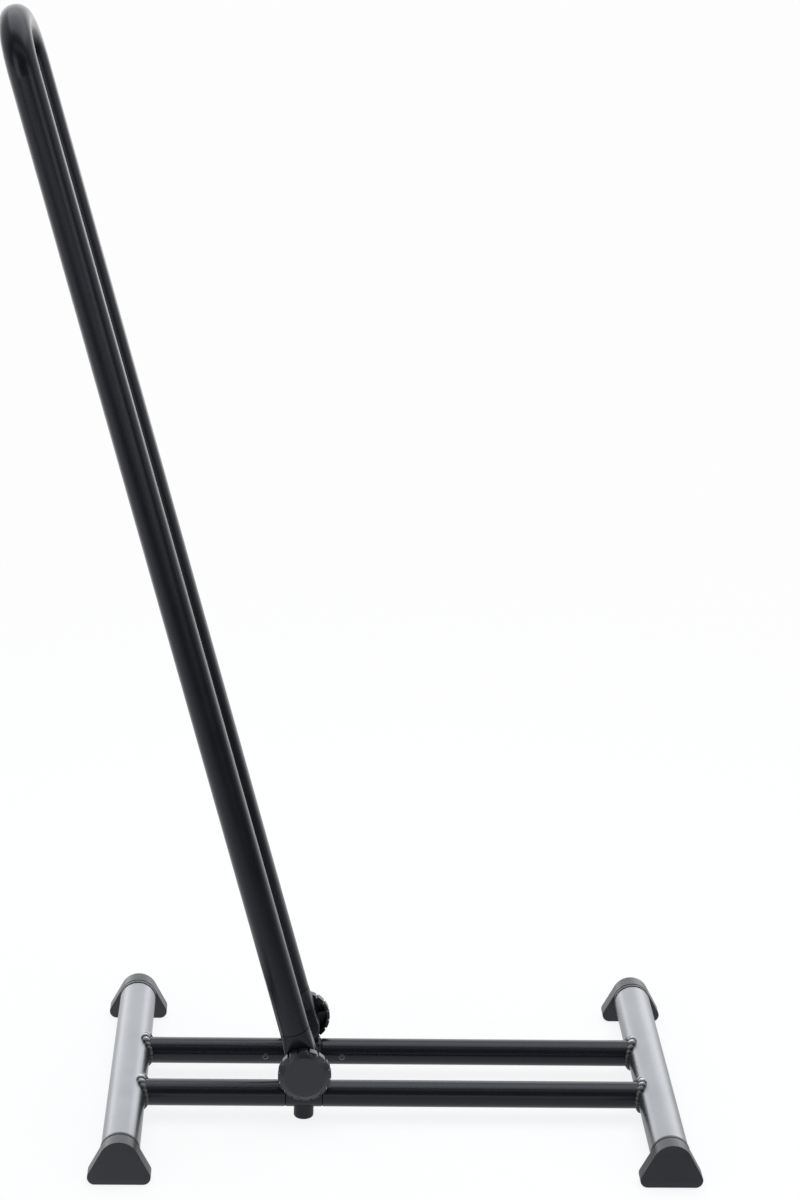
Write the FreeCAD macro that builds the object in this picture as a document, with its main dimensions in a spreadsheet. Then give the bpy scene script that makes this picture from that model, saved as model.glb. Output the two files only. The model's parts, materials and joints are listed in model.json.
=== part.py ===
import FreeCAD, Part
import math
import os
import Sketcher
from enum import IntEnum

# Folding floor stand for a bicycle. Two foot bars lie across the ends of two rails, and a tall
# hoop is clamped between them on a pivot. Millimetres, +X to the right, +Y to the rear, +Z up.
# The origin is on the floor, under the middle of the whole stand.

# ---------------------------------------------------------------- driving dimensions

SIZES = [
    ("bar_diameter", 31.8, "foot bar, outside"),
    ("bar_wall", 1.5, "foot bar, wall"),
    ("base_depth", 320.0, "foot bar with both caps, front to rear"),
    ("pivot_to_left_bar", 150.0, "pivot axis to the left bar's axis"),
    ("pivot_to_right_bar", 300.0, "pivot axis to the right bar's axis"),
    ("bar_height", 21.0, "bar and rail axes above the floor"),
    ("rail_diameter", 22.2, "rail, outside"),
    ("rail_wall", 1.5, "rail, wall"),
    ("track", 78.0, "front rail's axis to the rear rail's, and leg to leg"),
    ("hoop_diameter", 25.4, "hoop tube, outside"),
    ("hoop_wall", 1.5, "hoop tube, wall"),
    ("leg_length", 871.0, "pivot axis to the start of the hoop's bend"),
    ("lean_angle", 15.5, "hoop's lean to the left, in degrees"),
    ("pivot_height", 46.5, "pivot axis above the floor"),
    ("slip_fit", 0.1, "radial clearance of a plug in a tube"),
    ("running_fit", 0.05, "radial clearance of a bolt or rivet in its hole"),
    ("tube_break", 0.6, "bevel on a tube's end"),
    ("cap_depth", 20.0, "end cap outside the bar"),
    ("cap_proud", 0.6, "cap's arch beyond the bar's surface"),
    ("cap_splay", 28.3, "cap's sides from the vertical, in degrees"),
    ("cap_corner", 6.3, "radius of the cap's lower corners"),
    ("cap_ring", 3.4, "length of the ring at the cap's mouth"),
    ("cap_groove", 1.0, "width of the groove behind the ring"),
    ("cap_groove_depth", 0.8, "depth of that groove"),
    ("cap_bevel_width", 5.4, "bevelled border of the cap's end face"),
    ("cap_bevel_depth", 1.2, "how far that border falls back"),
    ("cap_plug", 18.0, "length of the plug inside the bar"),
    ("cap_plug_wall", 2.5, "wall of the plug"),
    ("weld_leg", 3.0, "size of a weld bead"),
    ("weld_bevel", 1.8, "bevel along a weld bead's crest"),
    ("lug_half_length", 15.6, "pivot axis to the lug's seam with a rail"),
    ("lug_plug", 30.0, "length of the lug's plug in a rail"),
    ("lug_neck_half", 13.0, "half of the lug's neck and radius of its eye"),
    ("lug_tongue", 8.8, "thickness of the lug's tongue"),
    ("lug_shoulder_drop", 2.4, "height of the sloped shoulder"),
    ("shoulder_round", 3.0, "rounding of the shoulder block's long edges"),
    ("eye_radius", 13.2, "radius of the knuckle's lower end"),
    ("cheek_outside", 10.2, "leg axis to the outer face of a cheek"),
    ("cheek_round", 2.0, "rounding of a cheek's edges"),
    ("cheek_height", 17.0, "pivot axis to where the cheeks start to turn round"),
    ("round_height", 33.0, "pivot axis to where the knuckle is round"),
    ("round_flat", 0.3, "half of the flat left on the knuckle's round part"),
    ("knuckle_seam", 34.0, "pivot axis to the seam with the leg"),
    ("knuckle_plug", 30.0, "length of the knuckle's plug in the leg"),
    ("fold_gap", 0.5, "knuckle to the lug's shoulder as the hoop turns"),
    ("friction_disc", 0.8, "thickness of a friction disc"),
    ("friction_radius", 11.0, "radius of a friction disc"),
    ("clamp_gap", 0.1, "friction disc to cheek, clamp slack"),
    ("bolt_diameter", 6.0, "pivot bolt"),
    ("bolt_head_diameter", 10.5, "head of the pivot bolt"),
    ("bolt_head_height", 2.8, "height of that head"),
    ("bolt_head_bevel", 0.9, "bevel of that head"),
    ("bolt_socket", 4.0, "key size of the bolt's socket"),
    ("bolt_socket_depth", 1.8, "depth of the bolt's socket"),
    ("bolt_reach", 19.4, "leg axis to the bolt's tip"),
    ("bolt_recess_depth", 3.0, "depth of the recess for the bolt's head"),
    ("bolt_recess_slack", 0.6, "radial room round the bolt's head"),
    ("washer_radius", 7.0, "clamp washer, outside"),
    ("washer_thickness", 1.2, "clamp washer, thickness"),
    ("washer_gap", 0.05, "clamp washer to the cheek and to the knob"),
    ("knob_radius", 22.5, "knob over its grips"),
    ("knob_back", 13.3, "leg axis to the back of the knob's rim"),
    ("knob_rim", 6.6, "length of the knob's gripped rim"),
    ("knob_step", 0.8, "length of the step in front of the grips"),
    ("knob_step_radius", 20.7, "radius in front of the grips"),
    ("knob_disc_radius", 17.5, "radius of the knob's flat face"),
    ("knob_front", 22.8, "leg axis to the knob's flat face"),
    ("knob_web", 2.3, "thickness behind the knob's face"),
    ("knob_rim_wall", 2.9, "wall of the knob's rim"),
    ("knob_hub_radius", 8.5, "radius of the knob's hub"),
    ("knob_rib", 1.4, "thickness of a rib in the knob"),
    ("knob_rib_setback", 0.8, "rim's back edge to the ribs"),
    ("grip_width", 1.9, "width of a grip notch"),
    ("grip_depth", 1.5, "depth of a grip notch"),
    ("bolt_end_room", 0.5, "room in front of the bolt's tip"),
    ("nut_size", 10.0, "knob nut across its flats"),
    ("nut_thickness", 5.0, "thickness of the knob nut"),
    ("nut_recess", 0.6, "hub's back face to the nut"),
    ("foot_diameter", 16.8, "support foot under a lug"),
    ("foot_floor_gap", 0.3, "support foot above the floor"),
    ("foot_depth_in_lug", 9.0, "how far above the lug's underside the foot ends"),
    ("foot_round", 1.5, "rounding of the support foot's lower edge"),
    ("rail_rivet_offset", 33.3, "pivot axis to a rail rivet"),
    ("leg_rivet_offset", 17.0, "knuckle's seam to a leg rivet"),
    ("rivet_diameter", 3.2, "shank of a rivet"),
    ("rivet_head_diameter", 5.6, "head of a rivet"),
    ("rivet_head_top", 3.4, "top of that head"),
    ("rivet_head_height", 1.1, "height of that head"),
    ("rivet_dimple", 1.8, "hole in the head"),
    ("rivet_length", 7.0, "shank of a rivet, from under its head"),
]

GRIP_COUNT = 16
RIB_COUNT = 6
SIDES = {"front": -1, "rear": 1}

# Values that follow from the driving dimensions.
LAYOUT = [
    ("bar_radius", "Sizes.bar_diameter / 2"),
    ("bar_inner_radius", "Sizes.bar_diameter / 2 - Sizes.bar_wall"),
    ("bar_length", "Sizes.base_depth - 2 * Sizes.cap_depth"),
    ("rail_radius", "Sizes.rail_diameter / 2"),
    ("rail_inner_radius", "Sizes.rail_diameter / 2 - Sizes.rail_wall"),
    ("side_offset", "Sizes.track / 2"),
    ("leg_radius", "Sizes.hoop_diameter / 2"),
    ("leg_inner_radius", "Sizes.hoop_diameter / 2 - Sizes.hoop_wall"),
    ("cap_radius", "Sizes.bar_diameter / 2 + Sizes.cap_proud"),
    ("cap_arch_x", "(Sizes.bar_diameter / 2 + Sizes.cap_proud) * cos(Sizes.cap_splay)"),
    ("cap_arch_z", "(Sizes.bar_diameter / 2 + Sizes.cap_proud) * sin(Sizes.cap_splay)"),
    # Middle of the lower corner's round, out from the bar's axis.
    ("cap_corner_x", "cap_arch_x + (Sizes.bar_height - Sizes.cap_corner + cap_arch_z)"
                     " * tan(Sizes.cap_splay) - Sizes.cap_corner / cos(Sizes.cap_splay)"),
    ("cap_side_x", "cap_corner_x + Sizes.cap_corner * cos(Sizes.cap_splay)"),
    ("cap_side_z", "Sizes.cap_corner * (1 + sin(Sizes.cap_splay)) - Sizes.bar_height"),
    ("cap_half_width", "cap_corner_x + Sizes.cap_corner"),
    ("hoop_reach_left", "(Sizes.leg_length + Sizes.track / 2) * sin(Sizes.lean_angle)"
                        " + Sizes.hoop_diameter / 2"),
    ("base_reach_left", "Sizes.pivot_to_left_bar + cap_half_width"),
    ("reach_left", "hoop_reach_left > base_reach_left ? hoop_reach_left : base_reach_left"),
    ("pivot_x", "(reach_left - Sizes.pivot_to_right_bar - cap_half_width) / 2"),
    ("left_bar_x", "pivot_x - Sizes.pivot_to_left_bar"),
    ("right_bar_x", "pivot_x + Sizes.pivot_to_right_bar"),
    ("pivot_rise", "Sizes.pivot_height - Sizes.bar_height"),
    ("shoulder_rise", "pivot_rise - Sizes.eye_radius - Sizes.fold_gap"),
    ("shoulder_half_depth", "0.9 * rail_radius"),
    # The shoulder stands this high above the rail at its long edges, which limits its slopes
    # and the rounding of those edges.
    ("shoulder_wall", "shoulder_rise - sqrt(rail_radius ^ 2 - shoulder_half_depth ^ 2)"),
    ("shoulder_fillet", "min(Sizes.shoulder_round; 0.6 * shoulder_wall)"),
    ("shoulder_drop", "min(Sizes.lug_shoulder_drop; 0.5 * shoulder_wall)"),
    ("cheek_inside", "Sizes.lug_tongue / 2 + Sizes.friction_disc + Sizes.clamp_gap"),
    ("slot_height", "Sizes.lug_neck_half + Sizes.fold_gap"),
    ("bolt_radius", "Sizes.bolt_diameter / 2"),
    ("bolt_hole_radius", "Sizes.bolt_diameter / 2 + Sizes.running_fit"),
    ("bolt_head_under", "Sizes.bolt_recess_depth - Sizes.cheek_outside"),
    ("hub_back", "Sizes.cheek_outside + Sizes.washer_thickness + 2 * Sizes.washer_gap"),
    ("knob_rim_front", "Sizes.knob_back + Sizes.knob_rim"),
    ("knob_step_front", "Sizes.knob_back + Sizes.knob_rim + Sizes.knob_step"),
    ("knob_web_back", "Sizes.knob_front - Sizes.knob_web"),
    ("knob_rim_inner", "Sizes.knob_radius - Sizes.knob_rim_wall"),
    ("nut_back", "hub_back + Sizes.nut_recess"),
    ("foot_top", "Sizes.foot_depth_in_lug - Sizes.rail_diameter / 2"),
    ("rivet_hole_radius", "Sizes.rivet_diameter / 2 + Sizes.running_fit"),
]

doc = FreeCAD.newDocument("FloorBikeStand")


def make_sheet(name, rows):
    """Sheet whose column B holds one named cell a row."""
    sheet = doc.addObject("Spreadsheet::Sheet", name)
    for number, (alias, content, note) in enumerate(rows, start=1):
        sheet.set(f"A{number}", note)
        sheet.set(f"B{number}", content)
        sheet.setAlias(f"B{number}", alias)
    doc.recompute()
    return sheet


sizes = make_sheet("Sizes", [(alias, str(number), note) for alias, number, note in SIZES])
layout = make_sheet("Layout", [(alias, "=" + formula, "") for alias, formula in LAYOUT])


def value(expression):
    """Number that an expression of the sheets comes to."""
    result = layout.evalExpression(str(expression))
    return float(getattr(result, "Value", result))


def bind(thing, **expressions):
    """Ties properties of an object to expressions of the sheets."""
    for name, expression in expressions.items():
        thing.setExpression(name, str(expression))


# ---------------------------------------------------------------- places

UPRIGHT = "rotation(vector(0; 0; 1); 0)"
HALF_TURN = "rotation(vector(0; 0; 1); 180)"
LEAN = "rotation(vector(0; 1; 0); -Sizes.lean_angle)"


def place(thing, x, y, z, turn=UPRIGHT):
    """Ties an object's place and turn to the sheets."""
    thing.setExpression("Placement", f"placement(vector({x}; {y}; {z}); {turn})")


def facing(side):
    """Turn that points a sub-part's own +Y away from the stand's middle."""
    return HALF_TURN if side < 0 else UPRIGHT


def place_at_pivot(thing, side):
    """Puts a sub-part, drawn about the pivot with +Y outwards, on the leaning hoop."""
    place(thing, "Layout.pivot_x", f"{side} * Layout.side_offset", "Sizes.pivot_height",
          f"{LEAN} * {facing(side)}")


# ---------------------------------------------------------------- sketches

FIXED_POINT = (-1, 1)


class Spot(IntEnum):
    """The points of a line or an arc that a constraint can name."""
    START = 1
    END = 2
    CENTRE = 3


def new_body(label):
    body = doc.addObject("PartDesign::Body", label)
    body.Label = label
    return body


def new_sketch(body, name, plane, offset=None):
    """Sketch on one of the body's own origin planes, or a given distance off it."""
    sketch = body.newObject("Sketcher::SketchObject", name)
    planes = {feature.Role: feature for feature in body.Origin.OriginFeatures}
    sketch.AttachmentSupport = [(planes[plane], "")]
    sketch.MapMode = "FlatFace"
    if offset is not None:
        sketch.setExpression("AttachmentOffset.Base.z", offset)
    return sketch


def pin(sketch, geometry, position, x, y):
    """Ties a point of the sketch to its two coordinates."""
    for kind, axis, expression in (("DistanceX", -2, x), ("DistanceY", -1, y)):
        if str(expression) == "0":
            sketch.addConstraint(Sketcher.Constraint("PointOnObject", geometry, position, axis))
            continue
        number = sketch.addConstraint(
            Sketcher.Constraint(kind, *FIXED_POINT, geometry, position, value(expression)))
        sketch.setExpression(f"Constraints[{number}]", str(expression))


def draw_circle(sketch, radius, x="0", y="0"):
    centre = FreeCAD.Vector(value(x), value(y), 0)
    number = sketch.addGeometry(Part.Circle(centre, FreeCAD.Vector(0, 0, 1), value(radius)))
    pin(sketch, number, Spot.CENTRE, x, y)
    limit = sketch.addConstraint(Sketcher.Constraint("Radius", number, value(radius)))
    sketch.setExpression(f"Constraints[{limit}]", str(radius))


def tangent_arc(start, end, heading):
    """Arc from start to end that leaves start along the heading, with its end headings."""
    normal = FreeCAD.Vector(-heading.y, heading.x, 0)
    chord = end - start
    radius = chord.Length ** 2 / (2 * normal.dot(chord))
    centre = start + normal * radius
    low, high = ((point - centre) for point in (start, end))
    angles = [math.atan2(arm.y, arm.x) for arm in (low, high)]
    if radius < 0:
        angles.reverse()
    arc = Part.ArcOfCircle(Part.Circle(centre, FreeCAD.Vector(0, 0, 1), abs(radius)), *angles)
    leaving = FreeCAD.Vector(-high.y, high.x, 0) * math.copysign(1, radius)
    return arc, radius > 0, leaving.normalize()


def draw_path(sketch, points, arcs=(), closed=True):
    """Runs through points given by expressions. A segment whose number is in arcs is an arc
    that leaves its first point along the segment before it."""
    spots = [FreeCAD.Vector(value(x), value(y), 0) for x, y in points]
    count = len(points) if closed else len(points) - 1
    heading = None
    ends = []
    for index in range(count):
        start, end = spots[index], spots[(index + 1) % len(spots)]
        if index in arcs:
            arc, forwards, heading = tangent_arc(start, end, heading)
            number = sketch.addGeometry(arc)
            spots_in_order = (Spot.START, Spot.END) if forwards else (Spot.END, Spot.START)
            ends.append((number, *spots_in_order))
        else:
            heading = (end - start).normalize()
            number = sketch.addGeometry(Part.LineSegment(start, end))
            ends.append((number, Spot.START, Spot.END))
    for index, (number, first, last) in enumerate(ends):
        if index not in arcs:
            pin(sketch, number, first, *points[index])
            if (index + 1) % count in arcs or (not closed and index == count - 1):
                pin(sketch, number, last, *points[(index + 1) % len(points)])
    joints = range(count if closed else count - 1)
    for index in joints:
        number, first, last = ends[index]
        after, after_first, after_last = ends[(index + 1) % count]
        kind = "Tangent" if (index + 1) % count in arcs else "Coincident"
        sketch.addConstraint(Sketcher.Constraint(kind, number, last, after, after_first))


def draw_rectangle(sketch, left, right, low, high):
    draw_path(sketch, [(left, low), (right, low), (right, high), (left, high)])


def draw_hexagon(sketch, across_flats):
    """Hexagon about the sketch's origin, two of its flats level."""
    corner = f"{across_flats} / sqrt(3)"
    flat = f"{across_flats} / 2"
    half = f"{across_flats} / (2 * sqrt(3))"
    draw_path(sketch, [(corner, "0"), (half, flat), (f"-{half}", flat),
                       (f"-{corner}", "0"), (f"-{half}", f"-{flat}"), (half, f"-{flat}")])


def draw_rounded(sketch, half_x, half_y, corner):
    """Rectangle with round corners about the sketch's origin."""
    x, y = f"({half_x})", f"({half_y})"
    inner_x, inner_y = f"({half_x} - {corner})", f"({half_y} - {corner})"
    draw_path(sketch, [(f"-{inner_x}", f"-{y}"), (inner_x, f"-{y}"),
                       (x, f"-{inner_y}"), (x, inner_y),
                       (inner_x, y), (f"-{inner_x}", y),
                       (f"-{x}", inner_y), (f"-{x}", f"-{inner_y}")], arcs={1, 3, 5, 7})


# ---------------------------------------------------------------- features

def finish(body, feature):
    body.Tip = feature
    doc.recompute()
    return feature


def pad(body, name, sketch, length, backwards=False, middle=False):
    feature = body.newObject("PartDesign::Pad", name)
    feature.Profile = sketch
    feature.Reversed = backwards
    feature.SideType = "Symmetric" if middle else "One side"
    bind(feature, Length=length)
    return finish(body, feature)


def pocket(body, name, sketch, length, backwards=False, middle=False):
    feature = body.newObject("PartDesign::Pocket", name)
    feature.Profile = sketch
    feature.Reversed = backwards
    feature.SideType = "Symmetric" if middle else "One side"
    bind(feature, Length=length)
    before = body.Shape.Volume
    finish(body, feature)
    if body.Shape.Volume >= before:
        raise RuntimeError(f"{body.Label}: {name} cuts nothing")
    return feature


def revolve(body, name, sketch):
    """Full turn about the sketch's own vertical axis."""
    feature = body.newObject("PartDesign::Revolution", name)
    feature.Profile = sketch
    feature.ReferenceAxis = (sketch, ["V_Axis"])
    feature.Angle = 360
    return finish(body, feature)


def repeat_round_y(body, name, original, count):
    """Copies a feature round the body's own Y axis."""
    axes = {feature.Role: feature for feature in body.Origin.OriginFeatures}
    feature = body.newObject("PartDesign::PolarPattern", name)
    feature.Originals = [original]
    feature.Axis = (axes["Y_Axis"], [""])
    feature.Angle = 360
    feature.Occurrences = count
    return finish(body, feature)


def edges_where(shape, test):
    """Names of a shape's edges that pass a test."""
    return [f"Edge{number}" for number, edge in enumerate(shape.Edges, start=1) if test(edge)]


def is_circle(edge, radius, axis, position):
    """True for a circular edge of this radius in the plane at this place along an axis."""
    curve = edge.Curve
    if not isinstance(curve, Part.Circle):
        return False
    place_on_axis = getattr(edge.CenterOfMass, axis)
    return abs(curve.Radius - radius) < 1e-3 and abs(place_on_axis - position) < 1e-3


def dress(body, kind, name, edges, **expressions):
    """Fillet or chamfer on named edges of the body's last feature."""
    base = body.Tip
    feature = body.newObject(f"PartDesign::{kind}", name)
    feature.Base = (base, edges)
    if "Size2" in expressions:
        feature.ChamferType = "Two distances"
    bind(feature, **expressions)
    return finish(body, feature)


# ---------------------------------------------------------------- base

def make_foot_bar(label, x):
    """Tube across one end of the rails, front to rear."""
    body = new_body(label)
    ring = new_sketch(body, f"{label}_ring", "XZ_Plane")
    draw_circle(ring, "Layout.bar_radius")
    draw_circle(ring, "Layout.bar_inner_radius")
    pad(body, f"{label}_tube", ring, "Layout.bar_length", middle=True)
    place(body, x, "0", "Sizes.bar_height")
    return body


def make_rail(label, side, bar_x, reach, from_left):
    """Half of a rail, from its notch round the foot bar to its seam at the lug. It is drawn
    from the bar's axis along its own +X."""
    body = new_body(label)
    length = f"({reach} - Sizes.lug_half_length)"
    ring = new_sketch(body, f"{label}_ring", "YZ_Plane")
    draw_circle(ring, "Layout.rail_radius")
    draw_circle(ring, "Layout.rail_inner_radius")
    pad(body, f"{label}_tube", ring, length)
    notch = new_sketch(body, f"{label}_notch_outline", "XZ_Plane")
    draw_circle(notch, "Layout.bar_radius")
    pocket(body, f"{label}_notch", notch, "2 * Sizes.rail_diameter", middle=True)
    hole = new_sketch(body, f"{label}_rivet_outline", "XZ_Plane")
    draw_circle(hole, "Layout.rivet_hole_radius", f"{reach} - Sizes.rail_rivet_offset")
    inner_is_plus_y = (side < 0) == from_left
    pocket(body, f"{label}_rivet_hole", hole, "Sizes.rail_diameter",
           backwards=not inner_is_plus_y)
    seam = edges_where(body.Shape, lambda edge: is_circle(
        edge, value("Layout.rail_radius"), "x", value(length)))
    dress(body, "Chamfer", f"{label}_seam", seam, Size="Sizes.tube_break")
    place(body, bar_x, f"{side} * Layout.side_offset", "Sizes.bar_height",
          UPRIGHT if from_left else HALF_TURN)
    return body


def make_foot_cap(label, side, bar_x):
    """Moulded end cap with a flat sole. It is drawn from the bar's end along its own +Y."""
    body = new_body(label)
    plug = new_sketch(body, f"{label}_plug_outline", "XZ_Plane")
    draw_circle(plug, "Layout.bar_inner_radius - Sizes.slip_fit")
    pad(body, f"{label}_plug", plug, "Sizes.cap_plug")
    ring = new_sketch(body, f"{label}_ring_outline", "XZ_Plane")
    draw_circle(ring, "Layout.cap_radius")
    pad(body, f"{label}_ring", ring, "Sizes.cap_ring", backwards=True)
    neck = new_sketch(body, f"{label}_neck_outline", "XZ_Plane", "-Sizes.cap_ring")
    draw_circle(neck, "Layout.cap_radius - Sizes.cap_groove_depth")
    pad(body, f"{label}_neck", neck, "Sizes.cap_groove", backwards=True)
    head_start = "(Sizes.cap_ring + Sizes.cap_groove)"
    head = new_sketch(body, f"{label}_head_outline", "XZ_Plane", f"-{head_start}")
    draw_path(head, [("-Layout.cap_corner_x", "-Sizes.bar_height"),
                     ("Layout.cap_corner_x", "-Sizes.bar_height"),
                     ("Layout.cap_side_x", "Layout.cap_side_z"),
                     ("Layout.cap_arch_x", "Layout.cap_arch_z"),
                     ("-Layout.cap_arch_x", "Layout.cap_arch_z"),
                     ("-Layout.cap_side_x", "Layout.cap_side_z")], arcs={1, 3, 5})
    pad(body, f"{label}_head", head, f"Sizes.cap_depth - {head_start}", backwards=True)
    front = value("Sizes.cap_depth")
    border = edges_where(body.Shape, lambda edge: all(
        abs(vertex.Y - front) < 1e-3 for vertex in edge.Vertexes))
    bevel = dress(body, "Chamfer", f"{label}_bevel", border,
                  Size="Sizes.cap_bevel_width", Size2="Sizes.cap_bevel_depth")
    face_width = max(face.BoundBox.XLength for face in body.Shape.Faces
                     if abs(face.CenterOfMass.y - front) < 1e-3)
    wanted = 2 * value("Layout.cap_half_width - Sizes.cap_bevel_width")
    if abs(face_width - wanted) > 1e-2:
        bevel.FlipDirection = True
        doc.recompute()
    bore = new_sketch(body, f"{label}_bore_outline", "XZ_Plane", "Sizes.cap_plug")
    draw_circle(bore, "Layout.bar_inner_radius - Sizes.slip_fit - Sizes.cap_plug_wall")
    pocket(body, f"{label}_bore", bore, "Sizes.cap_plug")
    place(body, bar_x, f"{side} * Layout.bar_length / 2", "Sizes.bar_height", facing(side))
    return body


def make_weld_beads(label):
    """Bevelled bead round each joint of a rail with a foot bar."""
    beads = []
    for bar, bar_x, turn in (("left", "Layout.left_bar_x", 90), ("right", "Layout.right_bar_x", -90)):
        for end, side in SIDES.items():
            name = f"{end}_{bar}_bead"
            outward = f"rotation(vector(0; 1; 0); {turn})"
            # The cylinders along the bar have their seams on the side away from the bead.
            seam_away = f"rotation(vector(0; 0; 1); {90 + turn})"
            along_bar = f"rotation(vector(1; 0; 0); -90) * {seam_away}"
            centre = (bar_x, f"{side} * Layout.side_offset", "Sizes.bar_height")
            bar_end = (bar_x, f"{side} * Layout.side_offset - 2 * Layout.rail_radius",
                       "Sizes.bar_height")
            bodies = {}
            for part, radius, height, spot, axis in (
                    ("wide_rail", "Layout.rail_radius + Sizes.weld_leg",
                     "Layout.bar_radius + 2 * Sizes.weld_leg", centre, outward),
                    ("wide_bar", "Layout.bar_radius + Sizes.weld_leg",
                     "4 * Layout.rail_radius", bar_end, along_bar),
                    ("rail", "Layout.rail_radius", "2 * Layout.bar_radius", centre, outward),
                    ("bar", "Layout.bar_radius", "4 * Layout.rail_radius", bar_end, along_bar)):
                cylinder = doc.addObject("Part::Cylinder", f"{name}_{part}")
                bind(cylinder, Radius=radius, Height=height)
                place(cylinder, *spot, axis)
                bodies[part] = cylinder
            overlap = doc.addObject("Part::MultiCommon", f"{name}_overlap")
            overlap.Shapes = [bodies["wide_rail"], bodies["wide_bar"]]
            off_bar = doc.addObject("Part::Cut", f"{name}_off_bar")
            off_bar.Base, off_bar.Tool = overlap, bodies["bar"]
            ring = doc.addObject("Part::Cut", f"{name}_ring")
            ring.Base, ring.Tool = off_bar, bodies["rail"]
            doc.recompute()
            bead = doc.addObject("Part::Chamfer", name)
            bead.Base = ring
            crest = crest_edges(ring.Shape, value(bar_x), side * value("Layout.side_offset"))
            bevel = value("Sizes.weld_bevel")
            bead.Edges = [(number, bevel, bevel) for number in crest]
            beads.append(bead)
    group = doc.addObject("Part::Compound", label)
    group.Label = label
    group.Links = beads
    return group


def crest_edges(shape, bar_x, rail_y):
    """Numbers of the edges that lie on both outer surfaces of a bead."""
    axis_z = value("Sizes.bar_height")
    from_bar = value("Layout.bar_radius + Sizes.weld_leg")
    from_rail = value("Layout.rail_radius + Sizes.weld_leg")
    numbers = []
    for number, edge in enumerate(shape.Edges, start=1):
        point = edge.valueAt((edge.FirstParameter + edge.LastParameter) / 2)
        bar_gap = math.hypot(point.x - bar_x, point.z - axis_z) - from_bar
        rail_gap = math.hypot(point.y - rail_y, point.z - axis_z) - from_rail
        if abs(bar_gap) < 1e-3 and abs(rail_gap) < 1e-3:
            numbers.append(number)
    return numbers


def make_pivot_lug(label, side):
    """Fitting that joins the two halves of a rail and carries the hoop. It is drawn about the
    rail's axis, under the pivot, with +Y outwards."""
    body = new_body(label)
    half, top, corner = "Layout.shoulder_half_depth", "Layout.shoulder_rise", "Layout.shoulder_fillet"
    section = new_sketch(body, f"{label}_shoulder_outline", "YZ_Plane")
    draw_path(section, [(f"-{half}", "0"), (half, "0"),
                        (half, f"({top} - {corner})"), (f"({half} - {corner})", top),
                        (f"-({half} - {corner})", top), (f"-{half}", f"({top} - {corner})")],
              arcs={2, 4})
    wide = "(Sizes.lug_half_length - 2 * Sizes.tube_break)"
    pad(body, f"{label}_shoulder", section, f"2 * {wide}", middle=True)
    low, above = f"({top} - Layout.shoulder_drop)", f"({top} + Layout.shoulder_drop)"
    slopes = new_sketch(body, f"{label}_slopes_outline", "XZ_Plane")
    draw_path(slopes, [("Sizes.lug_neck_half", top), (wide, low),
                       (wide, above), ("Sizes.lug_neck_half", above)])
    draw_path(slopes, [("-Sizes.lug_neck_half", above), (f"-{wide}", above),
                       (f"-{wide}", low), ("-Sizes.lug_neck_half", top)])
    pocket(body, f"{label}_slopes", slopes, "4 * Layout.rail_radius", middle=True)
    core = new_sketch(body, f"{label}_core_outline", "YZ_Plane")
    draw_circle(core, "Layout.rail_inner_radius - Sizes.slip_fit")
    pad(body, f"{label}_plugs", core, "2 * (Sizes.lug_half_length + Sizes.lug_plug)", middle=True)
    skin = new_sketch(body, f"{label}_body_outline", "YZ_Plane")
    draw_circle(skin, "Layout.rail_radius")
    pad(body, f"{label}_body", skin, "2 * Sizes.lug_half_length", middle=True)
    seams = edges_where(body.Shape, lambda edge: any(is_circle(
        edge, value("Layout.rail_radius"), "x", end * value("Sizes.lug_half_length"))
        for end in (-1, 1)))
    dress(body, "Chamfer", f"{label}_seams", seams, Size="Sizes.tube_break")
    neck = new_sketch(body, f"{label}_tongue_outline", "XZ_Plane")
    draw_path(neck, [("-Sizes.lug_neck_half", "0"), ("Sizes.lug_neck_half", "0"),
                     ("Sizes.lug_neck_half", "Layout.pivot_rise"),
                     ("-Sizes.lug_neck_half", "Layout.pivot_rise")], arcs={2})
    pad(body, f"{label}_tongue", neck, "Sizes.lug_tongue", middle=True)
    bore = new_sketch(body, f"{label}_bore_outline", "XZ_Plane")
    draw_circle(bore, "Layout.bolt_hole_radius", "0", "Layout.pivot_rise")
    pocket(body, f"{label}_bore", bore, "2 * Sizes.lug_tongue", middle=True)
    socket = new_sketch(body, f"{label}_socket_outline", "XY_Plane", "Layout.foot_top")
    draw_circle(socket, "Sizes.foot_diameter / 2 + Sizes.running_fit")
    pocket(body, f"{label}_socket", socket, "Sizes.rail_diameter")
    for name, offset in (("left", "-Sizes.rail_rivet_offset"), ("right", "Sizes.rail_rivet_offset")):
        hole = new_sketch(body, f"{label}_{name}_rivet_outline", "XZ_Plane")
        draw_circle(hole, "Layout.rivet_hole_radius", offset)
        pocket(body, f"{label}_{name}_rivet_hole", hole, "Sizes.rail_diameter", backwards=True)
    place(body, "Layout.pivot_x", f"{side} * Layout.side_offset", "Sizes.bar_height", facing(side))
    return body


def make_support_foot(label, side):
    """Round post under a lug. It is drawn about the lug's own upright axis."""
    body = new_body(label)
    low = "(Sizes.foot_floor_gap - Sizes.bar_height)"
    sole = new_sketch(body, f"{label}_outline", "XY_Plane", low)
    draw_circle(sole, "Sizes.foot_diameter / 2")
    pad(body, f"{label}_post", sole, f"Layout.foot_top - {low}")
    rim = edges_where(body.Shape, lambda edge: is_circle(
        edge, value("Sizes.foot_diameter / 2"), "z", value(low)))
    dress(body, "Fillet", f"{label}_rim", rim, Radius="Sizes.foot_round")
    place(body, "Layout.pivot_x", f"{side} * Layout.side_offset", "Sizes.bar_height")
    return body


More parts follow.
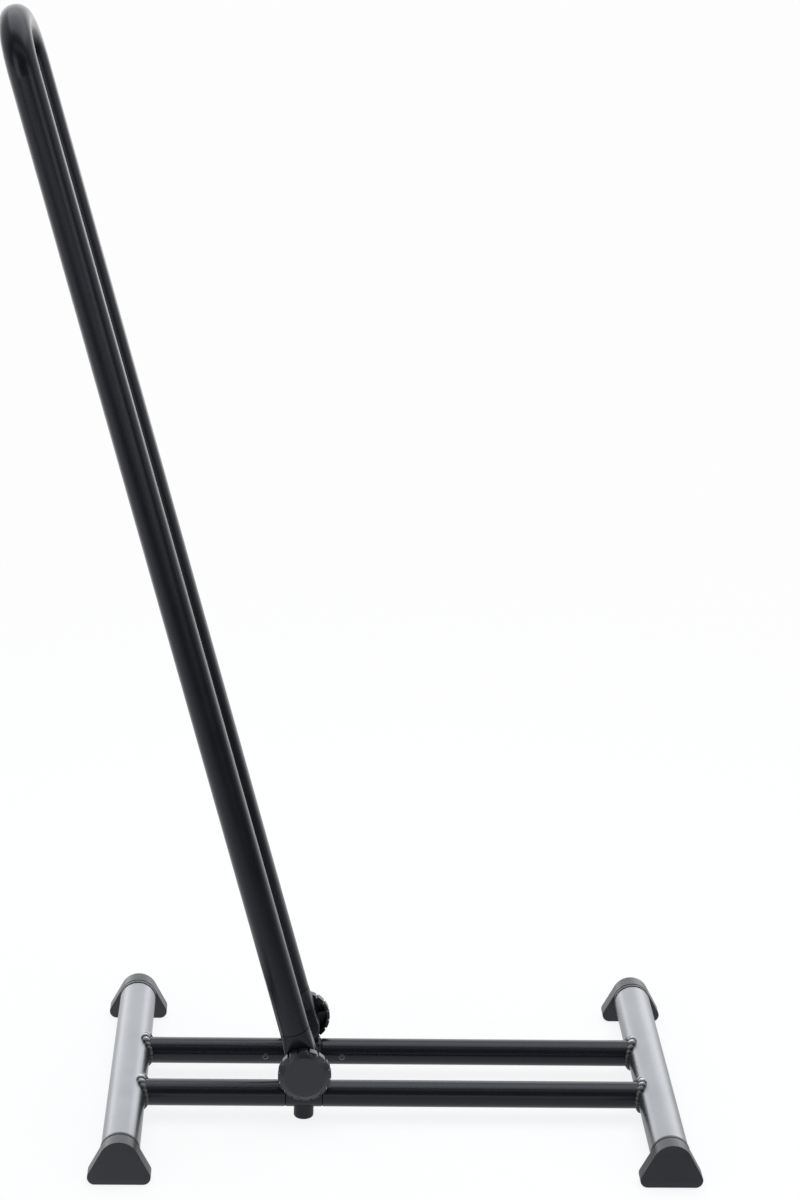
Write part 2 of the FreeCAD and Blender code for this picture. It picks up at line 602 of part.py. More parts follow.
def make_friction_discs(label, side):
    """Thin disc on each side of the lug's tongue."""
    body = new_body(label)
    for name, start, backwards in (("outer", "-Sizes.lug_tongue / 2", True),
                                   ("inner", "Sizes.lug_tongue / 2", False)):
        ring = new_sketch(body, f"{label}_{name}_outline", "XZ_Plane", start)
        draw_circle(ring, "Sizes.friction_radius")
        draw_circle(ring, "Layout.bolt_hole_radius")
        pad(body, f"{label}_{name}", ring, "Sizes.friction_disc", backwards=backwards)
    place(body, "Layout.pivot_x", f"{side} * Layout.side_offset", "Sizes.pivot_height",
          facing(side))
    return body


# ---------------------------------------------------------------- rivets

def make_rivet(name):
    """Blind rivet with a hollow head, drawn with its head upwards from the surface at zero."""
    shank = doc.addObject("Part::Cylinder", f"{name}_shank")
    bind(shank, Radius="Sizes.rivet_diameter / 2", Height="Sizes.rivet_length")
    place(shank, "0", "0", "-Sizes.rivet_length")
    head = doc.addObject("Part::Cone", f"{name}_head")
    bind(head, Radius1="Sizes.rivet_head_diameter / 2", Radius2="Sizes.rivet_head_top / 2",
         Height="Sizes.rivet_head_height")
    whole = doc.addObject("Part::Fuse", f"{name}_whole")
    whole.Base, whole.Tool = shank, head
    dimple = doc.addObject("Part::Cylinder", f"{name}_dimple")
    bind(dimple, Radius="Sizes.rivet_dimple / 2", Height="2 * Sizes.rivet_head_height")
    rivet = doc.addObject("Part::Cut", name)
    rivet.Base, rivet.Tool = whole, dimple
    return rivet


def towards_middle(side):
    """Turn that points a rivet's head from a tube towards the stand's middle."""
    return f"rotation(vector(1; 0; 0); {90 * side})"


def make_rail_rivets(label):
    """Rivets that hold the lugs' plugs in the rails, two to a lug."""
    rivets = []
    for end, side in SIDES.items():
        for name, sign in (("left", -1), ("right", 1)):
            rivet = make_rivet(f"{end}_{name}_rail_rivet")
            place(rivet, f"Layout.pivot_x + {sign} * Sizes.rail_rivet_offset",
                  f"{side} * (Layout.side_offset - Layout.rail_radius)", "Sizes.bar_height",
                  towards_middle(side))
            rivets.append(rivet)
    return group_of(label, rivets)


def make_leg_rivets(label):
    """Rivets that hold the knuckles' plugs in the hoop's legs, one to a leg."""
    rivets = []
    for end, side in SIDES.items():
        rivet = make_rivet(f"{end}_leg_rivet")
        on_leg = (f"placement(vector(0; {side} * (Layout.side_offset - Layout.leg_radius);"
                  f" Sizes.knuckle_seam + Sizes.leg_rivet_offset); {towards_middle(side)})")
        pivot = f"placement(vector(Layout.pivot_x; 0; Sizes.pivot_height); {LEAN})"
        rivet.setExpression("Placement", f"{pivot} * {on_leg}")
        rivets.append(rivet)
    return group_of(label, rivets)


def group_of(label, members):
    group = doc.addObject("Part::Compound", label)
    group.Label = label
    group.Links = members
    return group


# ---------------------------------------------------------------- hoop

def make_hoop_tube(label):
    """Bent tube of the hoop, drawn upright about the pivot's axis."""
    body = new_body(label)
    path = new_sketch(body, f"{label}_path", "YZ_Plane")
    draw_path(path, [("-Layout.side_offset", "Sizes.knuckle_seam"),
                     ("-Layout.side_offset", "Sizes.leg_length"),
                     ("Layout.side_offset", "Sizes.leg_length"),
                     ("Layout.side_offset", "Sizes.knuckle_seam")], arcs={1}, closed=False)
    ring = new_sketch(body, f"{label}_ring", "XY_Plane", "Sizes.knuckle_seam")
    draw_circle(ring, "Layout.leg_radius", "0", "-Layout.side_offset")
    draw_circle(ring, "Layout.leg_inner_radius", "0", "-Layout.side_offset")
    doc.recompute()
    tube = body.newObject("PartDesign::AdditivePipe", f"{label}_tube")
    tube.Profile = ring
    tube.Spine = path
    finish(body, tube)
    for name, side in SIDES.items():
        hole = new_sketch(body, f"{label}_{name}_rivet_outline", "XZ_Plane",
                          f"{-side} * Layout.side_offset")
        draw_circle(hole, "Layout.rivet_hole_radius", "0",
                    "Sizes.knuckle_seam + Sizes.leg_rivet_offset")
        pocket(body, f"{label}_{name}_rivet_hole", hole, "Sizes.hoop_diameter",
               backwards=side > 0)
    seams = edges_where(body.Shape, lambda edge: is_circle(
        edge, value("Layout.leg_radius"), "z", value("Sizes.knuckle_seam")))
    dress(body, "Chamfer", f"{label}_seams", seams, Size="Sizes.tube_break")
    place(body, "Layout.pivot_x", "0", "Sizes.pivot_height", LEAN)
    return body


def make_knuckle(label, side):
    """Fork at the foot of a leg, drawn about the pivot with +Y outwards and +Z up the leg."""
    body = new_body(label)
    eye = new_sketch(body, f"{label}_eye_outline", "XY_Plane")
    out, edge = "Sizes.cheek_outside", "(Sizes.cheek_outside - Sizes.cheek_round)"
    rim = "(Sizes.eye_radius - Sizes.cheek_round)"
    draw_path(eye, [("0", f"-{out}"), (rim, f"-{out}"), ("Sizes.eye_radius", f"-{edge}"),
                    ("Sizes.eye_radius", edge), (rim, out), ("0", out)], arcs={1, 3})
    revolve(body, f"{label}_eye", eye)
    cheeks = new_sketch(body, f"{label}_cheek_outline", "XY_Plane")
    draw_rounded(cheeks, "Layout.leg_radius", out, "Sizes.cheek_round")
    pad(body, f"{label}_cheeks", cheeks, "Sizes.cheek_height")
    low = new_sketch(body, f"{label}_blend_low", "XY_Plane", "Sizes.cheek_height")
    draw_rounded(low, "Layout.leg_radius", out, "Sizes.cheek_round")
    high = new_sketch(body, f"{label}_blend_high", "XY_Plane", "Sizes.round_height")
    corner = "(Layout.leg_radius - Sizes.round_flat)"
    draw_rounded(high, "Layout.leg_radius", "Layout.leg_radius", corner)
    doc.recompute()
    blend = body.newObject("PartDesign::AdditiveLoft", f"{label}_blend")
    blend.Profile = low
    blend.Sections = [high]
    finish(body, blend)
    top = new_sketch(body, f"{label}_round_outline", "XY_Plane", "Sizes.round_height")
    draw_rounded(top, "Layout.leg_radius", "Layout.leg_radius", corner)
    pad(body, f"{label}_round", top, "Sizes.knuckle_seam - Sizes.round_height")
    plug = new_sketch(body, f"{label}_plug_outline", "XY_Plane", "Sizes.knuckle_seam")
    draw_circle(plug, "Layout.leg_inner_radius - Sizes.slip_fit")
    pad(body, f"{label}_plug", plug, "Sizes.knuckle_plug")
    slot = new_sketch(body, f"{label}_slot_outline", "XZ_Plane")
    draw_rectangle(slot, "-2 * Sizes.eye_radius", "2 * Sizes.eye_radius",
                   "-2 * Sizes.eye_radius", "Layout.slot_height")
    pocket(body, f"{label}_slot", slot, "2 * Layout.cheek_inside", middle=True)
    bore = new_sketch(body, f"{label}_bore_outline", "XZ_Plane")
    draw_circle(bore, "Layout.bolt_hole_radius")
    pocket(body, f"{label}_bore", bore, "4 * Sizes.cheek_outside", middle=True)
    recess = new_sketch(body, f"{label}_recess_outline", "XZ_Plane", "Sizes.cheek_outside")
    draw_circle(recess, "Sizes.bolt_head_diameter / 2 + Sizes.bolt_recess_slack")
    pocket(body, f"{label}_recess", recess, "Sizes.bolt_recess_depth")
    hole = new_sketch(body, f"{label}_rivet_outline", "XZ_Plane")
    draw_circle(hole, "Layout.rivet_hole_radius", "0",
                "Sizes.knuckle_seam + Sizes.leg_rivet_offset")
    pocket(body, f"{label}_rivet_hole", hole, "Sizes.hoop_diameter", backwards=True)
    place_at_pivot(body, side)
    return body


def make_pivot_bolt(label, side):
    """Bolt from the recess in the inner cheek to the knob's nut."""
    body = new_body(label)
    profile = new_sketch(body, f"{label}_profile", "XY_Plane")
    head_top = "(Layout.bolt_head_under - Sizes.bolt_head_height)"
    head_radius = "Sizes.bolt_head_diameter / 2"
    tip_bevel = "Sizes.tube_break"
    draw_path(profile, [
        ("0", head_top), (f"({head_radius} - Sizes.bolt_head_bevel)", head_top),
        (head_radius, f"({head_top} + Sizes.bolt_head_bevel)"),
        (head_radius, "Layout.bolt_head_under"), ("Layout.bolt_radius", "Layout.bolt_head_under"),
        ("Layout.bolt_radius", f"(Sizes.bolt_reach - {tip_bevel})"),
        (f"(Layout.bolt_radius - {tip_bevel})", "Sizes.bolt_reach"), ("0", "Sizes.bolt_reach")])
    revolve(body, f"{label}_turned", profile)
    socket = new_sketch(body, f"{label}_socket_outline", "XZ_Plane", f"-{head_top}")
    draw_hexagon(socket, "Sizes.bolt_socket")
    pocket(body, f"{label}_socket", socket, "Sizes.bolt_socket_depth")
    place_at_pivot(body, side)
    return body


def make_clamp_washer(label, side):
    """Washer between the outer cheek and the knob."""
    body = new_body(label)
    start = "-(Sizes.cheek_outside + Sizes.washer_gap)"
    ring = new_sketch(body, f"{label}_outline", "XZ_Plane", start)
    draw_circle(ring, "Sizes.washer_radius")
    draw_circle(ring, "Layout.bolt_hole_radius")
    pad(body, f"{label}_disc", ring, "Sizes.washer_thickness", backwards=True)
    place_at_pivot(body, side)
    return body


def make_knob(label, side):
    """Clamp knob: notched rim, bevelled face, hub and ribs in its hollow back."""
    body = new_body(label)
    profile = new_sketch(body, f"{label}_profile", "XY_Plane")
    bolt_end = "(Sizes.bolt_reach + Sizes.bolt_end_room)"
    draw_path(profile, [
        ("Layout.bolt_hole_radius", "Layout.hub_back"), ("Sizes.knob_hub_radius", "Layout.hub_back"),
        ("Sizes.knob_hub_radius", "Layout.knob_web_back"),
        ("Layout.knob_rim_inner", "Layout.knob_web_back"),
        ("Layout.knob_rim_inner", "Sizes.knob_back"), ("Sizes.knob_radius", "Sizes.knob_back"),
        ("Sizes.knob_radius", "Layout.knob_rim_front"),
        ("Sizes.knob_step_radius", "Layout.knob_step_front"),
        ("Sizes.knob_disc_radius", "Sizes.knob_front"), ("0", "Sizes.knob_front"),
        ("0", bolt_end), ("Layout.bolt_hole_radius", bolt_end)])
    revolve(body, f"{label}_turned", profile)
    notch = new_sketch(body, f"{label}_grip_outline", "XZ_Plane", "-Sizes.knob_back")
    draw_rectangle(notch, "-Sizes.grip_width / 2", "Sizes.grip_width / 2",
                   "Sizes.knob_radius - Sizes.grip_depth", "Sizes.knob_radius + Sizes.grip_depth")
    first = pocket(body, f"{label}_grip", notch, "Sizes.knob_rim + Sizes.knob_step")
    repeat_round_y(body, f"{label}_grips", first, GRIP_COUNT)
    rib_back = "(Sizes.knob_back + Sizes.knob_rib_setback)"
    rib = new_sketch(body, f"{label}_rib_outline", "XZ_Plane", f"-{rib_back}")
    middle = "(Sizes.knob_hub_radius + Layout.knob_rim_inner) / 2"
    reach = "((Layout.knob_rim_inner - Sizes.knob_hub_radius) / 2 + Sizes.knob_rib)"
    draw_rectangle(rib, f"({middle} - {reach})", f"({middle} + {reach})",
                   "-Sizes.knob_rib / 2", "Sizes.knob_rib / 2")
    web = pad(body, f"{label}_rib", rib, f"Layout.knob_web_back - {rib_back} + Sizes.knob_web / 2",
              backwards=True)
    repeat_round_y(body, f"{label}_ribs", web, RIB_COUNT)
    seat = new_sketch(body, f"{label}_nut_outline", "XZ_Plane", "-Layout.hub_back")
    draw_hexagon(seat, "(Sizes.nut_size + 2 * Sizes.slip_fit)")
    pocket(body, f"{label}_nut_seat", seat, "Sizes.nut_recess + Sizes.nut_thickness")
    place_at_pivot(body, side)
    return body


def make_knob_nut(label, side):
    """Hexagon nut in the back of the knob's hub."""
    body = new_body(label)
    outline = new_sketch(body, f"{label}_outline", "XZ_Plane", "-Layout.nut_back")
    draw_hexagon(outline, "Sizes.nut_size")
    draw_circle(outline, "Layout.bolt_hole_radius")
    pad(body, f"{label}_hexagon", outline, "Sizes.nut_thickness", backwards=True)
    place_at_pivot(body, side)
    return body


# ---------------------------------------------------------------- the stand

def make_stand():
    parts = [
        make_foot_bar("left_foot_bar", "Layout.left_bar_x"),
        make_foot_bar("right_foot_bar", "Layout.right_bar_x"),
    ]
    for end, side in SIDES.items():
        parts += [
            make_rail(f"{end}_left_rail", side, "Layout.left_bar_x",
                      "Sizes.pivot_to_left_bar", from_left=True),
            make_rail(f"{end}_right_rail", side, "Layout.right_bar_x",
                      "Sizes.pivot_to_right_bar", from_left=False),
            make_foot_cap(f"{end}_left_foot_cap", side, "Layout.left_bar_x"),
            make_foot_cap(f"{end}_right_foot_cap", side, "Layout.right_bar_x"),
            make_pivot_lug(f"{end}_pivot_lug", side),
            make_support_foot(f"{end}_support_foot", side),
            make_friction_discs(f"{end}_friction_discs", side),
            make_knuckle(f"{end}_knuckle", side),
            make_pivot_bolt(f"{end}_pivot_bolt", side),
            make_clamp_washer(f"{end}_clamp_washer", side),
            make_knob(f"{end}_knob", side),
            make_knob_nut(f"{end}_knob_nut", side),
        ]
    parts += [
        make_weld_beads("weld_beads"),
        make_rail_rivets("rail_rivets"),
        make_hoop_tube("hoop_tube"),
        make_leg_rivets("leg_rivets"),
    ]
    return parts


def check_document(parts):
    """Stops if any object failed, or a sub-part's shape is empty or not valid."""
    for thing in doc.Objects:
        if "Invalid" in thing.State or "Error" in thing.State:
            raise RuntimeError(f"{thing.Label} failed: {thing.State}")
    for part in parts:
        if part.Shape.isNull() or not part.Shape.isValid() or not part.Shape.Solids:
            raise RuntimeError(f"{part.Label} has no valid solid")


def write_parts(parts):
    os.makedirs("parts", exist_ok=True)
    for part in parts:
        part.Shape.exportStep(f"parts/{part.Label}.step")
        print(f"{part.Label}: {len(part.Shape.Solids)} solid(s), {part.Shape.Volume:.0f} mm3")


stand = make_stand()
doc.recompute()
check_document(stand)
write_parts(stand)
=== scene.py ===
import json
import logging
import math
from dataclasses import dataclass, field
from enum import Enum

import bmesh
import bpy
from mathutils import Matrix, Vector


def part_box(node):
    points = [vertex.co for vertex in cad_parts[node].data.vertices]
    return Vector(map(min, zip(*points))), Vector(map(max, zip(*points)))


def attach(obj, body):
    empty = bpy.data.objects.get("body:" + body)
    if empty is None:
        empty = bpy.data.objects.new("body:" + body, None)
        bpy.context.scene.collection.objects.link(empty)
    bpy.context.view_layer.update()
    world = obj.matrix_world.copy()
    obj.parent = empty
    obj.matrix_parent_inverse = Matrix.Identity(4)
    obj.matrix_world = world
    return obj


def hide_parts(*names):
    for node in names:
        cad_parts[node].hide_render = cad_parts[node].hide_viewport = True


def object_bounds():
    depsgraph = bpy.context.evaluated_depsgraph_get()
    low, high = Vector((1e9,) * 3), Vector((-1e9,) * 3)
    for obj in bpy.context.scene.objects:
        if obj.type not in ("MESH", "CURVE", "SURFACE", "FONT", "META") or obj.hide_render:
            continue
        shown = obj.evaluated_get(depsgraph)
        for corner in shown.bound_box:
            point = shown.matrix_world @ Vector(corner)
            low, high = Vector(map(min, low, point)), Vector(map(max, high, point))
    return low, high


log = logging.getLogger("floor_bike_rack")

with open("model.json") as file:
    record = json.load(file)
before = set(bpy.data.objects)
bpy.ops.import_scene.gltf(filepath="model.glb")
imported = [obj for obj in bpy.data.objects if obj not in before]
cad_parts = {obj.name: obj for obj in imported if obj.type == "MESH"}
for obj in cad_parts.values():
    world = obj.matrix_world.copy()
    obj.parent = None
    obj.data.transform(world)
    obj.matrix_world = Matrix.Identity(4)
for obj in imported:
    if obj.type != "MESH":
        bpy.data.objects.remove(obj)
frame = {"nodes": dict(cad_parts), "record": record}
CAD_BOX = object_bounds()

Colour = tuple[float, float, float]
Point = tuple[float, float, float]
Span = tuple[float, float]
Socket = bpy.types.NodeSocket


class End(Enum):
    """The two long sides of the rack, as signs along Y."""

    FRONT = -1
    REAR = 1

    @property
    def label(self) -> str:
        """The word that starts the names of this side's nodes."""
        return self.name.lower()


class Side(Enum):
    """The two ends of the rails, as signs along X."""

    LEFT = -1
    RIGHT = 1

    @property
    def label(self) -> str:
        """The word that the names of this end's nodes hold."""
        return self.name.lower()


# ---------------------------------------------------------------- node graphs

NOISE_MIDDLE: Span = (0.3, 0.7)


class Graph:
    """The shading nodes of a material or of the surroundings, with short ways to add and join
    them."""

    def __init__(
        self, owner: bpy.types.Material | bpy.types.World, output: str = "Material"
    ) -> None:
        """Starts an empty graph.

        Args:
            owner: the material or world whose nodes these are.
            output: the kind of its output node.
        """
        owner.use_nodes = True
        self.tree = owner.node_tree
        self.tree.nodes.clear()
        self.output = self.tree.nodes.new("ShaderNodeOutput" + output)

    def add(self, kind: str, **settings: object) -> bpy.types.Node:
        """Adds a node.

        Args:
            kind: the node's type, without its ShaderNode prefix.
            settings: properties of the node, or input values by their name with
                underscores for spaces.

        Returns:
            The new node.
        """
        node = self.tree.nodes.new("ShaderNode" + kind)
        for name, value in settings.items():
            socket = node.inputs.get(name.replace("_", " "))
            if hasattr(node, name):
                setattr(node, name, value)
            elif socket is not None:
                socket.default_value = value
            else:
                raise KeyError(f"{kind} has no {name}")
        return node

    def join(self, out: Socket, into: Socket) -> None:
        """Links an output to an input.

        Args:
            out: the output.
            into: the input.
        """
        self.tree.links.new(out, into)

    def finish(self, shader: Socket) -> None:
        """Links the last shader to the output.

        Args:
            shader: that shader's output.
        """
        self.join(shader, self.output.inputs["Surface"])

    def object_space(self) -> Socket:
        """Returns the Object coordinates, which are metres in the rack's own frame."""
        return self.add("TexCoord").outputs["Object"]

    def reckon(self, operation: str, *values: Socket | float) -> Socket:
        """Works out a number from others.

        Args:
            operation: the Math node's operation.
            values: its inputs, each a socket or a number.

        Returns:
            The result.
        """
        node = self.add("Math", operation=operation)
        for place, value in zip(node.inputs, values):
            if isinstance(value, bpy.types.NodeSocket):
                self.join(value, place)
            else:
                place.default_value = value
        return node.outputs[0]

    def ramp(self, value: Socket, span: Span, result: Span, kind: str = "LINEAR") -> Socket:
        """Maps a span of values to another one, and holds the ends beyond it.

        Args:
            value: what is mapped.
            span: the two ends of the values.
            result: what they become.
            kind: the Map Range node's interpolation.

        Returns:
            The mapped value.
        """
        node = self.add("MapRange", interpolation_type=kind)
        ends = ("From Min", "From Max", "To Min", "To Max")
        for name, number in zip(ends, (*span, *result)):
            node.inputs[name].default_value = number
        self.join(value, node.inputs["Value"])
        return node.outputs["Result"]

    def noise(
        self, scale: float, detail: float = 2.0, stretch: Point = (1.0, 1.0, 1.0)
    ) -> Socket:
        """Adds a noise pattern.

        Args:
            scale: how many features there are to a metre.
            detail: octaves.
            stretch: factors on the coordinates along X, Y and Z.

        Returns:
            The pattern's value, from 0 to 1.
        """
        space = self.add("Mapping")
        space.inputs["Scale"].default_value = stretch
        self.join(self.object_space(), space.inputs["Vector"])
        noise = self.add("TexNoise", Scale=scale, Detail=detail)
        self.join(space.outputs["Vector"], noise.inputs["Vector"])
        return noise.outputs["Fac"]

    def spread(self, value: Socket, low: float, high: float) -> Socket:
        """Maps the middle of a noise pattern to a range.

        Args:
            value: the pattern.
            low: what its low values become.
            high: what its high values become.

        Returns:
            The mapped pattern.
        """
        return self.ramp(value, NOISE_MIDDLE, (low, high))

    def blend(self, factor: Socket, low: Colour, high: Colour) -> Socket:
        """Runs between two colours.

        Args:
            factor: 0 for the low colour, 1 for the high one.
            low: first colour, linear.
            high: second colour, linear.

        Returns:
            The mixed colour.
        """
        node = self.add("Mix", data_type="RGBA")
        colours = [socket for socket in node.inputs if socket.type == "RGBA"]
        colours[0].default_value = (*low, 1.0)
        colours[1].default_value = (*high, 1.0)
        self.join(factor, node.inputs["Factor"])
        return next(socket for socket in node.outputs if socket.type == "RGBA")

    def bump(self, height: Socket, depth: float, under: Socket | None = None) -> Socket:
        """Turns a pattern into a relief.

        Args:
            height: the pattern.
            depth: relief in metres.
            under: the normal of a relief that this one lies on.

        Returns:
            The new normal.
        """
        node = self.add("Bump", Distance=depth)
        self.join(height, node.inputs["Height"])
        if under is not None:
            self.join(under, node.inputs["Normal"])
        return node.outputs["Normal"]

    def mirrors(self) -> Socket:
        """Returns 1 for a ray that a glossy surface sends, and 0 for the others."""
        return self.add("LightPath").outputs["Is Glossy Ray"]

    def looks(self) -> Socket:
        """Returns 1 for a ray of the camera or through glass, and 0 for the others."""
        path = self.add("LightPath")
        direct, through = path.outputs["Is Camera Ray"], path.outputs["Is Transmission Ray"]
        return self.reckon("MAXIMUM", direct, through)


def new_finish(name: str) -> tuple[bpy.types.Material, Graph, bpy.types.Node]:
    """Starts a material.

    Args:
        name: the material's name.

    Returns:
        The material, its graph, and its main shader, which is linked to the output.
    """
    material = bpy.data.materials.new(name)
    graph = Graph(material)
    skin = graph.add("BsdfPrincipled")
    graph.finish(skin.outputs["BSDF"])
    return material, graph, skin


# ---------------------------------------------------------------- finishes


@dataclass(frozen=True)
class SatinCoat:
    """Coat on steel: a satin skin with a little orange peel.

    Attributes:
        name: the material's name.
        colour: the coat's colour, linear.
        roughness: middle of the roughness.
        specular: specular level.
        peel: relief of the orange peel, in metres.
        peel_scale: peel marks to a metre.
        metallic: how metallic the coat is.
        unevenness: how far the roughness strays from its middle.
        tint: colour of what it reflects head on.
    """

    name: str
    colour: Colour
    roughness: float = 0.32
    specular: float = 0.5
    peel: float = 0.00002
    peel_scale: float = 620.0
    metallic: float = 0.0
    unevenness: float = 0.025
    tint: Colour = (0.80, 0.87, 1.0)

    def make(self) -> bpy.types.Material:
        """Returns the material."""
        material, graph, skin = new_finish(self.name)
        skin.inputs["Metallic"].default_value = self.metallic
        skin.inputs["Specular IOR Level"].default_value = self.specular
        skin.inputs["Specular Tint"].default_value = (*self.tint, 1.0)
        cloud = graph.noise(38.0, 3.0)
        pale = tuple(channel * 1.12 + 0.0005 for channel in self.colour)
        colour = graph.blend(graph.spread(cloud, 0.0, 1.0), self.colour, pale)
        smooth, rough = self.roughness - self.unevenness, self.roughness + self.unevenness
        graph.join(colour, skin.inputs["Base Color"])
        graph.join(graph.spread(cloud, smooth, rough), skin.inputs["Roughness"])
        graph.join(graph.bump(graph.noise(self.peel_scale), self.peel), skin.inputs["Normal"])
        return material


@dataclass(frozen=True)
class WeldSkin:
    """Black coat over a weld's ripples, with a painted highlight: the crest vertex attribute makes
    the coat paler, more metallic and glossier on the crests on top.

    Attributes:
        name: the material's name.
        valley: the coat's colour in the valleys, linear.
        crest: the painted highlight's colour on the crests on top.
        roughness: roughness on the crests.
        dulling: how much rougher the valleys are.
        specular: specular level.
        bare_span: crest heights over which the painted highlight turns metallic.
        bare: how metallic the coat is below and above them.
    """

    name: str
    valley: Colour
    crest: Colour
    roughness: float = 0.3
    dulling: float = 0.22
    specular: float = 0.9
    bare_span: Span = (0.1, 0.8)
    bare: Span = (0.0, 0.8)

    def make(self) -> bpy.types.Material:
        """Returns the material."""
        material, graph, skin = new_finish(self.name)
        skin.inputs["Specular IOR Level"].default_value = self.specular
        # The crest attribute masks the painted highlight: paler colour, less roughness and more
        # metal on the crests on top.
        height = graph.add("Attribute", attribute_name="crest").outputs["Fac"]
        dull = self.roughness + self.dulling
        graph.join(graph.blend(height, self.valley, self.crest), skin.inputs["Base Color"])
        roughness = graph.ramp(height, (0.0, 1.0), (dull, self.roughness))
        graph.join(roughness, skin.inputs["Roughness"])
        graph.join(graph.ramp(height, self.bare_span, self.bare), skin.inputs["Metallic"])
        coarse = graph.bump(graph.noise(420.0, 3.0), 0.0004)
        graph.join(graph.bump(graph.noise(1500.0), 0.00008, coarse), skin.inputs["Normal"])
        return material


@dataclass(frozen=True)
class MouldedPlastic:
    """Black moulded plastic with a fine spark-eroded grain.

    Attributes:
        name: the material's name.
        colour: the plastic's colour, linear.
        roughness: middle of the roughness.
        specular: specular level.
        grain: relief of the grain, in metres.
        tint: colour of what it reflects head on.
        unevenness: how far the roughness strays from its middle.
    """

    name: str
    colour: Colour
    roughness: float = 0.45
    specular: float = 0.5
    grain: float = 0.00003
    tint: Colour = (0.84, 0.90, 1.0)
    unevenness: float = 0.03

    def make(self) -> bpy.types.Material:
        """Returns the material."""
        material, graph, skin = new_finish(self.name)
        skin.inputs["Specular IOR Level"].default_value = self.specular
        skin.inputs["Specular Tint"].default_value = (*self.tint, 1.0)
        cloud = graph.noise(55.0)
        pale = tuple(channel * 1.15 + 0.001 for channel in self.colour)
        colour = graph.blend(graph.spread(cloud, 0.0, 1.0), self.colour, pale)
        smooth, rough = self.roughness - self.unevenness, self.roughness + self.unevenness
        graph.join(colour, skin.inputs["Base Color"])
        graph.join(graph.spread(cloud, smooth, rough), skin.inputs["Roughness"])
        graph.join(graph.bump(graph.noise(2600.0, 3.0), self.grain), skin.inputs["Normal"])
        return material


@dataclass(frozen=True)
class PlatedSteel:
    """Zinc-plated steel with faint handling marks.

    Attributes:
        name: the material's name.
        colour: the plating's colour, linear.
        roughness: middle of the roughness.
        unevenness: how far the roughness strays from its middle.
        scratches: relief of the handling marks, in metres.
    """

    name: str
    colour: Colour
    roughness: float = 0.32
    unevenness: float = 0.08
    scratches: float = 0.00002

    def make(self) -> bpy.types.Material:
        """Returns the material."""
        material, graph, skin = new_finish(self.name)
        skin.inputs["Metallic"].default_value = 1.0
        cloud = graph.noise(260.0, 4.0)
        dull = tuple(channel * 0.7 for channel in self.colour)
        colour = graph.blend(graph.spread(cloud, 0.0, 1.0), dull, self.colour)
        smooth, rough = self.roughness - self.unevenness, self.roughness + self.unevenness
        marks = graph.noise(1400.0, 2.0, (1.0, 0.15, 1.0))
        graph.join(colour, skin.inputs["Base Color"])
        graph.join(graph.spread(cloud, smooth, rough), skin.inputs["Roughness"])
        graph.join(graph.bump(marks, self.scratches), skin.inputs["Normal"])
        return material


Finish = SatinCoat | WeldSkin | MouldedPlastic | PlatedSteel

FINISHES: tuple[Finish, ...] = (
    SatinCoat("tube_coat", (0.0032, 0.0037, 0.0052), 0.26, 0.46),
    # The bar coat's silver-grey metallic colour is a painted reflection: it stands in for the
    # bright back light that the bars' black satin coat reflects at a grazing angle.
    SatinCoat(
        "bar_coat", (0.245, 0.254, 0.272), 0.33, 0.5, peel=0.000004, peel_scale=1400.0,
        metallic=1.0, unevenness=0.012, tint=(1.0, 1.0, 1.0),
    ),
    # The weld's crest colour is a painted highlight on the tops of the beads.
    WeldSkin("weld_coat", valley=(0.004, 0.0043, 0.0055), crest=(0.62, 0.63, 0.66), roughness=0.22),
    SatinCoat("casting_coat", (0.0060, 0.0066, 0.0084), 0.36, 0.45, 0.00003, 700.0),
    SatinCoat("rivet_coat", (0.030, 0.031, 0.034), 0.24, 0.8),
    MouldedPlastic("cap_plastic", (0.0095, 0.0103, 0.0128), 0.34, 0.66),
    MouldedPlastic("knob_plastic", (0.0080, 0.0087, 0.0110), 0.34, 0.7),
    MouldedPlastic("foot_plastic", (0.0085, 0.0092, 0.011), 0.5, 0.42),
    MouldedPlastic("disc_plastic", (0.04, 0.04, 0.041), 0.5, 0.4),
    PlatedSteel("bolt_steel", (0.30, 0.30, 0.31), 0.3),
    PlatedSteel("washer_steel", (0.42, 0.42, 0.43), 0.3),
    PlatedSteel("nut_steel", (0.42, 0.42, 0.43), 0.34),
)


@dataclass
class Wardrobe:
    """The finishes, each made once when it is first asked for."""

    made: dict[str, bpy.types.Material] = field(default_factory=dict)

    def finish(self, slot: str) -> bpy.types.Material:
        """Returns the material of a slot of the record.

        Args:
            slot: the slot's name.

        Returns:
            The material.
        """
        if slot not in self.made:
            self.made[slot] = next(finish for finish in FINISHES if finish.name == slot).make()
        return self.made[slot]

    def dress_nodes(self) -> None:
        """Gives every CAD node the finish of its slot."""
        for part in frame["record"]["subparts"]:
            for place in frame["nodes"][part["node"]].material_slots:
                place.material = self.finish(part["material_slot"])
            log.info("dressed %s in %s", part["node"], part["material_slot"])

    def dress_piece(self, piece: bpy.types.Object, node: str, body: str) -> None:
        """Lets a piece stand for a CAD node, with its finish, on its body.

        Args:
            piece: the new piece, in place.
            node: the node that it stands for.
            body: the body that it rides on.
        """
        parts = frame["record"]["subparts"]
        slot = next(part["material_slot"] for part in parts if part["node"] == node)
        piece.data.materials.clear()
        piece.data.materials.append(self.finish(slot))
        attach(piece, body)
        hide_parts(node)
        log.info("made %s in %s on %s", piece.name, slot, body)


# ---------------------------------------------------------------- pieces


def put_in_scene(shape: bmesh.types.BMesh, name: str) -> bpy.types.Object:
    """Makes a smooth-shaded object of a mesh that is in its place.

    Args:
        shape: the mesh, which is freed.
        name: the object's name.

    Returns:
        The object.
    """
    mesh = bpy.data.meshes.new(name)
    for face in shape.faces:
        face.smooth = True
    shape.to_mesh(mesh)
    shape.free()
    piece = bpy.data.objects.new(name, mesh)
    bpy.context.collection.objects.link(piece)
    return piece


